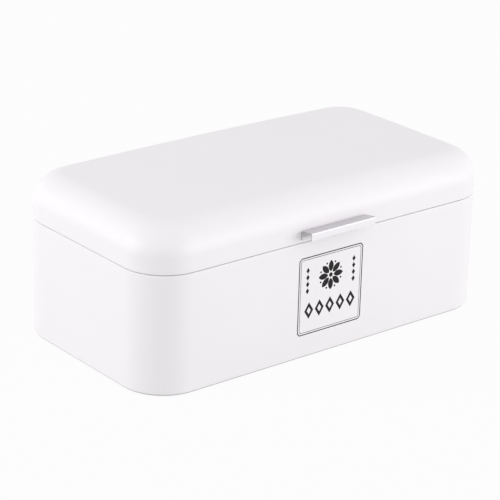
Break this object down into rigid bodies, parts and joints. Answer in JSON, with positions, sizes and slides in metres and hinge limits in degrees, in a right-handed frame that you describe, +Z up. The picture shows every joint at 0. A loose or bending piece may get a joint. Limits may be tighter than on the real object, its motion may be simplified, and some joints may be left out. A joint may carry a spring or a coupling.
{
  "type": "bread box",
  "caption": "White coated steel bread box with rounded corners, a crowned lid hinged at the back and a bent steel lift handle at the front.",
  "frame": {"origin": "middle of the footprint of the whole object, on the surface that the feet stand on", "axes": "+X along the width to the right seen from the front, +Y to the back, +Z up"},
  "size_m": [0.425, 0.2538, 0.1674],
  "materials": {
    "white_coat": "smooth white powder coat, half gloss",
    "handle_steel": "satin stainless steel",
    "hinge_steel": "nickel plated steel",
    "foot_rubber": "matt pale rubber"
  },
  "bodies": {
    "box": {"body_shell": "white_coat", "base_pan": "white_coat", "foot_front_left": "foot_rubber", "foot_front_right": "foot_rubber", "foot_rear_left": "foot_rubber", "foot_rear_right": "foot_rubber", "hinge_left_box_leaf": "hinge_steel", "hinge_left_pin": "hinge_steel", "hinge_left_box_rivets": "hinge_steel", "hinge_right_box_leaf": "hinge_steel", "hinge_right_pin": "hinge_steel", "hinge_right_box_rivets": "hinge_steel"},
    "lid": {"lid_shell": "white_coat", "lid_handle": "handle_steel", "handle_rivets": "handle_steel", "hinge_left_lid_leaf": "hinge_steel", "hinge_left_lid_rivets": "hinge_steel", "hinge_right_lid_leaf": "hinge_steel", "hinge_right_lid_rivets": "hinge_steel"}
  },
  "joints": [
    {"name": "lid_hinge", "type": "hinge", "parent": "box", "child": "lid", "pos_m": [0, 0.1189, 0.1209], "axis": [-1, 0, 0], "range_deg": [0, 100]}
  ]
}
